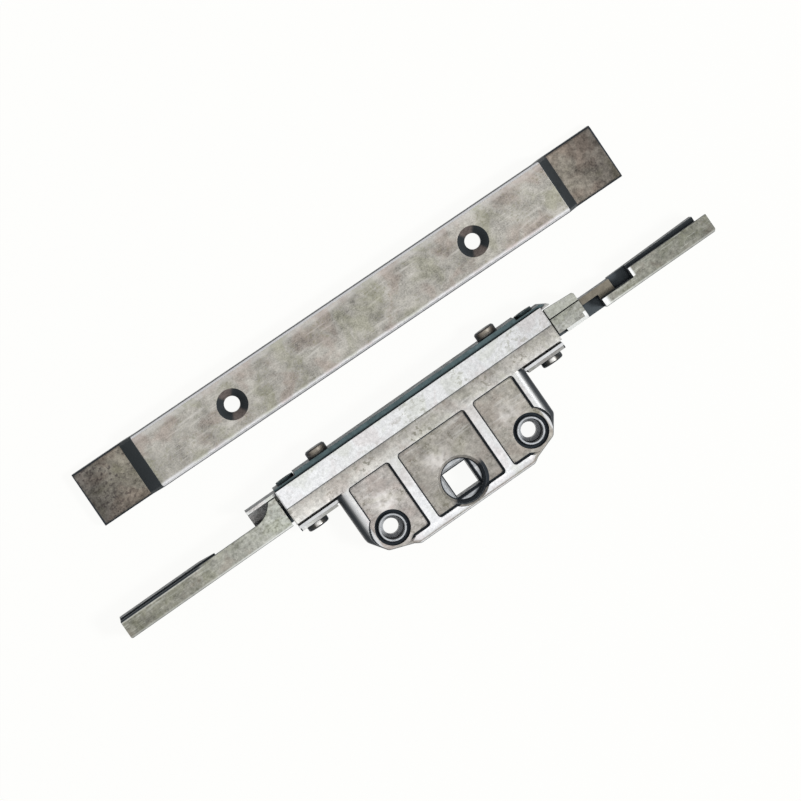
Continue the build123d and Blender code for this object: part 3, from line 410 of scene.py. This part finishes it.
def case_ribs(tree):
    """Nearly white ribs and rim, brightest at their lower ends, with a painted shade line on the
    rim's outer edge and painted shade on the right-hand ribs.
    """
    tone = ramp(
        tree, along(tree, 1),
        (-8.0, srgb(240, 241, 243)), (2.0, srgb(230, 231, 233)), (14.4, srgb(212, 212, 210)),
    )
    # Painted shade line along the rim's outer edge.
    tone = blend(tree, spread(tree, along(tree, 1), *RIM_LINE_Y, 0.0, 0.75), tone, DARK_GREY)
    # Painted shade: ribs to the right dimmer.
    dim = spread(tree, along(tree, 0), *DIM_RIB_X, 0.0, 0.35)
    tone = blend(tree, dim, tone, srgb(196, 197, 196))
    return uneven(tree, tone, 0.30, 0.45, 0.35, 4.0)


def case_sides(tree):
    """Rounded body sides, darker the more they lean: painted shade."""
    return ramp(
        tree, facing(tree, 2),
        (0.64, srgb(57, 61, 65)), (0.80, srgb(65, 69, 72)), (0.89, srgb(115, 117, 118)),
        (0.95, srgb(180, 181, 181)), (1.0, srgb(214, 215, 216)),
    )


def case_colour(tree):
    """Cast zinc: pale ribs and band, duller pocket floors, rounded sides."""
    x, y, z = (along(tree, axis) for axis in range(3))
    raised = number(tree, "MAXIMUM", spread(tree, z, *RIB_Z), spread(tree, y, *RIM_Y))
    colour = blend(tree, raised, case_floor(tree), case_ribs(tree))
    colour = blend(tree, spread(tree, y, *STRIP_Y), colour, case_strip(tree))
    colour = blend(tree, spread(tree, y, *BAND_Y), colour, case_band(tree))
    outward = spread(tree, number(tree, "ABSOLUTE", x), *BODY_SIDE_X)
    outside = product(tree, outward, spread(tree, y, *BODY_SIDE_Y))
    colour = scuffed(tree, tinted(tree, colour, 7.0, 0.3), srgb(238, 238, 235), 0.2)
    colour = case_recesses(tree, colour, x, y, z)
    return blend(tree, outside, colour, case_sides(tree))


def plate_top(tree, across):
    """Worn satin middle; white along one long edge and paler along the other, rubbed bright and
    painted as a highlight.
    """
    tone = uneven(tree, srgb(170, 167, 160), 1.0, 0.8, 0.9, 7.0)
    tone = speckled(tree, tone, srgb(134, 132, 114), 0.65)
    tone = scuffed(tree, tone, srgb(208, 205, 199), 0.45)
    # Rubbed bright and painted highlight along both long edges.
    tone = blend(tree, spread(tree, across, 5.3, 6.3, 0.0, 0.5), tone, srgb(206, 204, 200))
    return blend(tree, spread(tree, across, -6.2, -7.0, 0.0, 0.95), tone, srgb(232, 232, 234))


def plate_tabs(tree):
    """Handled end tabs, darker towards the ends."""
    tone = ramp(
        tree, along(tree, 0),
        (-80.0, srgb(102, 98, 93)), (-67.0, srgb(140, 135, 124)),
        (65.0, srgb(140, 134, 124)), (78.0, srgb(104, 99, 93)),
    )
    return speckled(tree, uneven(tree, tone, 1.5, 1.4, 1.1), srgb(66, 60, 60), 0.75, 1.0)


def plate_outline(tree, across, raised):
    """Dark line of painted shade round the plate, wider on its tabs."""
    x = along(tree, 0)
    left = spread(tree, x, PLATE_ENDS[0] + 0.5, PLATE_ENDS[0] + 0.3)
    right = spread(tree, x, PLATE_ENDS[1] - 0.5, PLATE_ENDS[1] - 0.3)
    ends = number(tree, "MAXIMUM", left, right)
    reach = number(tree, "ABSOLUTE", across)
    tab_side = product(tree, spread(tree, reach, 7.25, 7.45), number(tree, "SUBTRACT", 1.0, raised))
    middle_side = spread(tree, reach, 7.45, 7.6, 0.0, 0.85)
    return number(tree, "MAXIMUM", ends, number(tree, "MAXIMUM", tab_side, middle_side))


def plate_colour(tree):
    """Zinc-plated plate: long bevels bright by rubbing and as painted highlight, joggles black as
    painted shade, brown countersinks.
    """
    across = number(tree, "MULTIPLY_ADD", along(tree, 0), PLATE_SLOPE, along(tree, 1))
    across = number(tree, "SUBTRACT", across, PLATE_Y)
    raised = spread(tree, along(tree, 2), *PLATE_RAISED_Z)
    leaning = spread(tree, facing(tree, 2), 0.96, 0.90)
    colour = blend(tree, raised, plate_tabs(tree), plate_top(tree, across))
    colour = tinted(tree, colour, 10.0, 0.55)
    # Sloped faces of the raised middle: rubbed bright and painted highlight.
    colour = blend(tree, product(tree, leaning, raised), colour, srgb(228, 228, 230))
    colour = blend(tree, plate_outline(tree, across, raised), colour, BLACK_BLUE)
    for centre in PLATE_HOLES:
        sink = product(tree, leaning, spot(tree, centre, *SINK_R))
        colour = blend(tree, sink, colour, uneven(tree, srgb(118, 109, 105), 0.9, 0.9, 0.9, 4.0))
    # Painted shade: faces that lean along x, the joggles, near black.
    return blend(tree, spread(tree, facing(tree, 0), 0.25, 0.45), colour, srgb(60, 65, 68))


def tongue_levels(tree, colour):
    """Near-black low steps as painted shade, and the brown neck of the right tongue."""
    x, y, z = (along(tree, axis) for axis in range(3))
    # Painted shade: low steps darkened.
    low = number(tree, "SUBTRACT", 1.0, spread(tree, z, *TONGUE_TOP_Z))
    colour = blend(tree, low, colour, srgb(76, 82, 86))
    length = product(tree, spread(tree, x, *NECK_START_X), spread(tree, x, *NECK_END_X))
    neck = product(tree, length, spread(tree, z, *NECK_Z), spread(tree, z, *reversed(TONGUE_TOP_Z)))
    return blend(tree, neck, colour, uneven(tree, srgb(126, 120, 108), 0.5, 0.5, 0.4))


def tongue_edges(tree, colour):
    """A painted highlight and a painted shade line along the inner edge, and a black strip on the
    left tip.
    """
    x, y = along(tree, 0), along(tree, 1)
    fading = spread(tree, number(tree, "ABSOLUTE", x), 80.0, 45.0, 0.3, 0.9)
    # Painted highlight along the inner edge, fading towards the tips.
    inner_highlight = product(tree, spread(tree, y, 15.5, 15.1), fading)
    colour = blend(tree, inner_highlight, colour, srgb(226, 228, 224))
    # Painted shade line on the inner edge.
    colour = blend(tree, spread(tree, y, 15.0, 14.88, 0.0, 0.75), colour, BLACK_BLUE)
    strip = spread(tree, x, -65.5, -68.5)
    beside = product(tree, strip, spread(tree, y, 19.2, 19.4), 0.5)
    colour = blend(tree, beside, colour, srgb(216, 217, 210))
    return blend(tree, product(tree, strip, spread(tree, y, 19.55, 19.7)), colour, BLACK_BLUE)


def tongue_colour(tree):
    """Dull greenish zinc plating, paler towards the case."""
    tone = ramp(
        tree, along(tree, 0),
        (-88.0, srgb(138, 137, 127)), (-68.0, srgb(152, 151, 142)), (-50.0, srgb(172, 173, 165)),
        (-41.0, srgb(192, 195, 187)), (41.0, srgb(166, 167, 162)), (56.0, srgb(152, 152, 144)),
        (70.0, srgb(138, 138, 129)), (88.0, srgb(126, 126, 118)),
    )
    tone = speckled(tree, uneven(tree, tone, 1.1, 1.1, 1.0, 5.0), srgb(108, 108, 92), 0.6)
    tone = scuffed(tree, tinted(tree, tone, 6.0, 0.4), srgb(216, 218, 210), 0.3)
    x, y = along(tree, 0), along(tree, 1)
    wing = product(tree, spread(tree, y, *WING_Y), spread(tree, x, *WING_X))
    tone = blend(tree, product(tree, wing, 0.3), tone, srgb(214, 216, 208))
    # Sloped faces: rubbed bright and painted highlight.
    tone = blend(tree, spread(tree, facing(tree, 2), 0.96, 0.90), tone, srgb(232, 234, 232))
    # Painted highlight on the step ends.
    for low, high, inner, outer in HIGHLIGHTED_STEP_ENDS:
        start, end = spread(tree, x, low, low + 0.1), spread(tree, x, high, (low + high) / 2)
        near, far = spread(tree, y, inner, inner + 0.2), spread(tree, y, outer, outer - 0.2)
        tone = blend(tree, product(tree, start, end, near, far), tone, srgb(240, 241, 241))
    return tongue_levels(tree, tongue_edges(tree, tone))


def channel_colour(tree):
    """Zinc-plated sheet, brighter at the left end as painted light, dark at its ends as painted
    shade.
    """
    x, y = along(tree, 0), along(tree, 1)
    # Painted light: brighter towards the left end.
    tone = ramp(tree, x, (-41.0, srgb(222, 224, 223)), (-36.0, srgb(190, 190, 188)),
                (-30.0, srgb(168, 168, 166)), (41.0, srgb(156, 156, 153)))
    tone = speckled(tree, uneven(tree, tone, 0.6, 0.6, 0.5, 4.0), srgb(112, 110, 102), 0.5)
    tone = scuffed(tree, tinted(tree, tone, 5.0, 0.4), srgb(230, 230, 228), 0.3)
    # Painted shade at the sheet's ends.
    ends = spread(tree, number(tree, "ABSOLUTE", x), 40.5, 40.7)
    end_shade = product(tree, ends, spread(tree, y, 15.0, 14.7))
    return blend(tree, end_shade, tone, BLACK_BLUE)


def strip_colour(tree):
    """Blue-passivated strip."""
    tone = uneven(tree, srgb(80, 96, 99), 0.7, 0.7, 0.5)
    return scuffed(tree, tone, srgb(118, 136, 140), 0.2)


def hub_shade(tree, x, y):
    """Black on the hub's face: round the square hole, down its right side and round its edge."""
    down = number(tree, "MULTIPLY", y, -1.0)
    sides = number(tree, "ABSOLUTE", x), number(tree, "ABSOLUTE", y)
    nearest = number(tree, "MAXIMUM", *sides)
    right = number(tree, "MAXIMUM", x, down)
    past = spread(tree, right, *SQUARE_SHADE_FROM)
    wide = product(tree, past, spread(tree, right, *SQUARE_SHADE_TO))
    lines = number(tree, "MAXIMUM", spread(tree, nearest, *SQUARE_LINE), wide)
    lines = product(tree, lines, spread(tree, nearest, *SQUARE_EDGE))
    dark = number(tree, "MAXIMUM", lines, spread(tree, towards_shade(tree, x, y), *HUB_SHADE_REACH))
    outline = number(tree, "SUBTRACT", 1.0, spot(tree, (0.0, 0.0), *HUB_OUTLINE_R))
    return product(tree, number(tree, "MAXIMUM", dark, outline), spot(tree, (0.0, 0.0), *HUB_R))


def hub_colour(tree):
    """Satin turned steel: sleeves with black rims of painted shade, and the hub's shaded face."""
    tone = uneven(tree, srgb(180, 183, 186), 0.6, 0.5, 0.4, 3.0)
    tone = scuffed(tree, tone, srgb(238, 239, 239), 0.3)
    dark = hub_shade(tree, along(tree, 0), along(tree, 1))
    # Painted shade: black rims round the sleeves.
    for centre in SLEEVES:
        whole, middle = spot(tree, centre, *SLEEVE_R), spot(tree, centre, *SLEEVE_RING_R)
        dark = number(tree, "MAXIMUM", dark, number(tree, "SUBTRACT", whole, middle))
    return blend(tree, dark, tone, BLACK_BLUE)


def rivet_colour(tree):
    """Barrel heads: brownish studs and flange rivets that go black away from the top as painted
    shade, the flange rivets' tops nearly white as painted highlight.
    """
    # Painted shade on the studs' sides.
    stud = ramp(
        tree, facing(tree, 2),
        (0.45, BLACK_BLUE), (0.75, srgb(92, 86, 80)),
        (0.92, srgb(136, 129, 119)), (1.0, srgb(150, 143, 132)),
    )
    # Painted highlight on the flange rivets' tops, painted shade on their sides.
    flange = ramp(
        tree, facing(tree, 2),
        (0.60, BLACK_BLUE), (0.93, srgb(70, 68, 64)),
        (0.985, srgb(200, 198, 194)), (1.0, srgb(232, 231, 228)),
    )
    tone = blend(tree, spread(tree, along(tree, 1), 20.0, 21.0), flange, stud)
    return scuffed(tree, uneven(tree, tone, 0.6, 0.6, 0.5, 3.0), srgb(214, 212, 206), 0.2)


FINISHES = {
    "cast_zinc": metal("cast_zinc", case_colour, WALL_GREY, BRIGHT, radius=0.15),
    "plate_steel": metal("plate_steel", plate_colour, SIDE_GREY, BRIGHT, rub_and_highlight=0.1),
    "tongue_steel": metal("tongue_steel", tongue_colour, SIDE_GREY, BRIGHT, rub_and_highlight=0.1),
    "channel_steel": metal("channel_steel", channel_colour, WALL_GREY, BRIGHT),
    "strip_steel": metal("strip_steel", strip_colour, TEAL_WALL, TEAL_EDGE, rub_and_highlight=0.1),
    "hub_steel": metal("hub_steel", hub_colour, DARK_GREY, BRIGHT, shine=0.30, reach=0.25),
    "rivet_steel": metal("rivet_steel", rivet_colour, BLACK_BLUE, BRIGHT, shine=0.28, rub_and_highlight=0.15),
}
SUNK_HEADS = ("face_bush_left", "face_bush_right")


def dress_nodes():
    """Gives each CAD node the finish of its material slot, and the sunk heads the strip's."""
    slots = {row["node"]: row["material_slot"] for row in frame["record"]["subparts"]}
    for name, item in frame["nodes"].items():
        slot = "strip_steel" if name in SUNK_HEADS else slots[name]
        item.data.materials.clear()
        item.data.materials.append(FINISHES[slot])


def make_camera():
    """The photograph's camera."""
    camera = bpy.data.objects.new("camera", bpy.data.cameras.new("camera"))
    bpy.context.scene.collection.objects.link(camera)
    forward = (CAMERA_TARGET - CAMERA_PLACE).normalized()
    angle = math.radians(IMAGE_UP_ANGLE)
    right = forward.cross(Vector((math.cos(angle), math.sin(angle), 0))).normalized()
    up = right.cross(forward)
    turn = Matrix((right, up, -forward)).transposed()
    camera.matrix_world = Matrix.Translation(CAMERA_PLACE) @ turn.to_4x4()
    camera.data.lens = CAMERA_LENS
    camera.data.clip_start = 0.01
    camera.data.clip_end = 20.0
    bpy.context.scene.camera = camera


def make_lamp(name, direction, size, power):
    """A square lamp aimed at the gearbox."""
    lamp = bpy.data.objects.new(name, bpy.data.lights.new(name, "AREA"))
    bpy.context.scene.collection.objects.link(lamp)
    lamp.data.size = size
    lamp.data.energy = power
    lamp.location = CAMERA_TARGET + direction.normalized() * LAMP_DISTANCE
    lamp.rotation_euler = direction.to_track_quat("Z", "Y").to_euler()


def seen_directly(tree):
    """1 for rays from the camera, mirror-like rays and rays through glass."""
    path = add(tree, "ShaderNodeLightPath").outputs
    seen = number(tree, "MAXIMUM", path["Is Camera Ray"], path["Is Glossy Ray"])
    return number(tree, "MAXIMUM", seen, path["Is Transmission Ray"])


def make_world():
    """Plain soft light, with a white background for what is seen directly."""
    world = bpy.data.worlds.new("studio")
    bpy.context.scene.world = world
    world.use_nodes = True
    tree = world.node_tree
    tree.nodes.clear()
    soft = add(tree, "ShaderNodeBackground", {"Color": (1, 1, 1, 1), "Strength": AMBIENT})
    white = add(tree, "ShaderNodeBackground", {"Color": (1, 1, 1, 1), "Strength": 1.0})
    shader = add(tree, "ShaderNodeMixShader", {
        0: seen_directly(tree), 1: soft.outputs[0], 2: white.outputs[0],
    })
    add(tree, "ShaderNodeOutputWorld", {"Surface": shader.outputs[0]})


def make_floor():
    """A pale floor that keeps the object's shadow."""
    lowest = CAD_BOX[0].z - FLOOR_GAP
    bpy.ops.mesh.primitive_plane_add(size=FLOOR_SIZE, location=(0, 0, lowest))
    floor = bpy.context.object
    floor.name = "floor"
    material = bpy.data.materials.new("floor")
    material.use_nodes = True
    tree = material.node_tree
    tree.nodes.clear()
    lit = add(tree, "ShaderNodeBsdfDiffuse", {"Color": (0.95, 0.95, 0.94, 1)})
    white = add(tree, "ShaderNodeEmission", {"Color": (1, 1, 0.985, 1), "Strength": 1.0})
    share = number(tree, "MULTIPLY", seen_directly(tree), FLOOR_OWN_WHITE)
    shader = add(tree, "ShaderNodeMixShader", {0: share, 1: lit.outputs[0], 2: white.outputs[0]})
    add(tree, "ShaderNodeOutputMaterial", {"Surface": shader.outputs[0]})
    floor.data.materials.append(material)


dress_nodes()
make_camera()
make_world()
make_floor()
make_lamp("key", KEY_FROM, KEY_SIZE, KEY_POWER)
make_lamp("fill", FILL_FROM, FILL_SIZE, FILL_POWER)
bpy.context.scene.view_settings.view_transform = "Standard"
